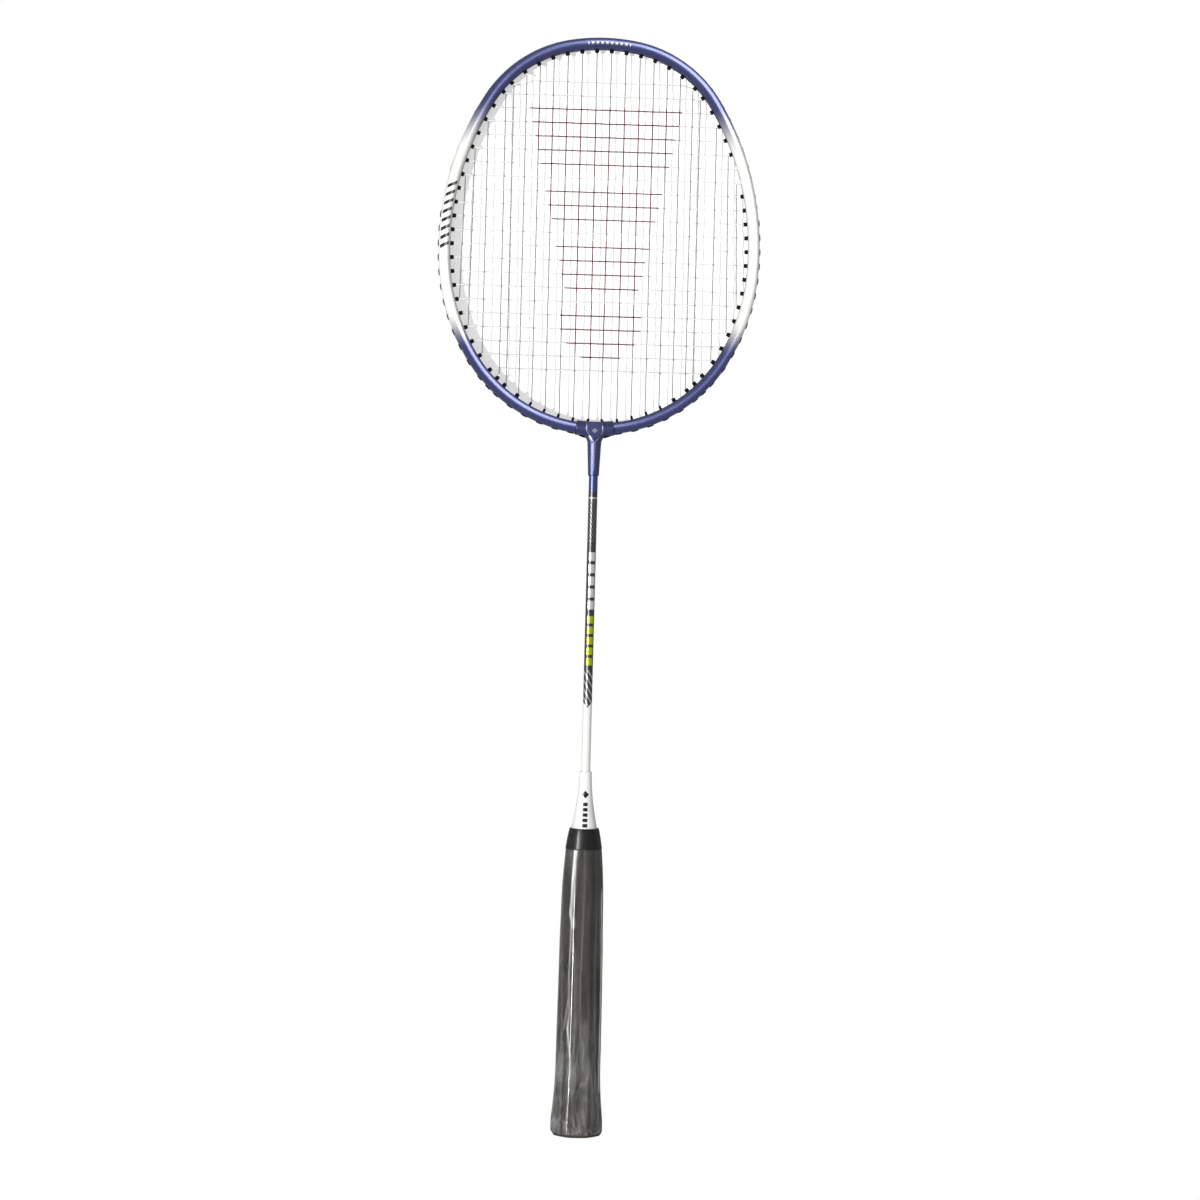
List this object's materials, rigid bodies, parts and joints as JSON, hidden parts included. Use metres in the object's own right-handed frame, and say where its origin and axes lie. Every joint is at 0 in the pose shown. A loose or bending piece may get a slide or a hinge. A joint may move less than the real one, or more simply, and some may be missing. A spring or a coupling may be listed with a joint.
{
  "type": "badminton racket",
  "caption": "Badminton racket with an aluminium hoop, steel shaft, woven string bed, external T-joint, cone cap and film-covered taped handle",
  "frame": {"origin": "centre of the butt's end face", "axes": "+Z runs along the shaft from the butt to the top of the hoop, X is the width of the head, and Y is the thin depth of the racket, with the front at -Y"},
  "size_m": [0.1988, 0.0306, 0.6706],
  "materials": {
    "hoop_lacquer": "glossy metallic periwinkle lacquer that fades to white on both sides of the hoop",
    "bare_aluminium": "sawn and unpolished",
    "joint_lacquer": "glossy metallic periwinkle lacquer with a silver outline",
    "shaft_lacquer": "glossy white lacquer with a dark grey printed panel on the upper half",
    "white_plastic": "moulded, glossy",
    "pale_wood": "sanded, unfinished",
    "bright_steel": "drawn wire",
    "black_plastic": "moulded, satin",
    "silver_label": "printed silver label",
    "grip_leatherette": "dark grey brown synthetic leather wound in a spiral, fine grain",
    "black_rubber": "satin",
    "clear_film": "thin clear plastic film, glossy and creased",
    "grommet_nylon": "black nylon, slightly glossy",
    "clear_nylon": "natural whitish nylon",
    "white_string": "white coated nylon, with a dark red print in the middle of the bed"
  },
  "bodies": {
    "root": {"head_frame": "hoop_lacquer", "hoop_spigot": "bare_aluminium", "t_joint": "joint_lacquer", "shaft": "shaft_lacquer", "cone_cap": "white_plastic", "handle_core": "pale_wood", "handle_pin": "bright_steel", "butt_cap": "black_plastic", "butt_badge": "silver_label", "grip_wrap": "grip_leatherette", "grip_tack": "bright_steel", "grip_collar": "black_rubber", "film_sleeve": "clear_film", "top_grommets": "grommet_nylon", "left_shoulder_grommets": "grommet_nylon", "right_shoulder_grommets": "grommet_nylon", "left_side_grommets": "grommet_nylon", "right_side_grommets": "grommet_nylon", "left_lower_grommets": "grommet_nylon", "right_lower_grommets": "grommet_nylon", "joint_grommets": "grommet_nylon", "tie_off_grommets": "clear_nylon", "main_string": "white_string", "cross_string": "white_string", "main_knots": "white_string", "cross_knots": "white_string"}
  },
  "joints": []
}
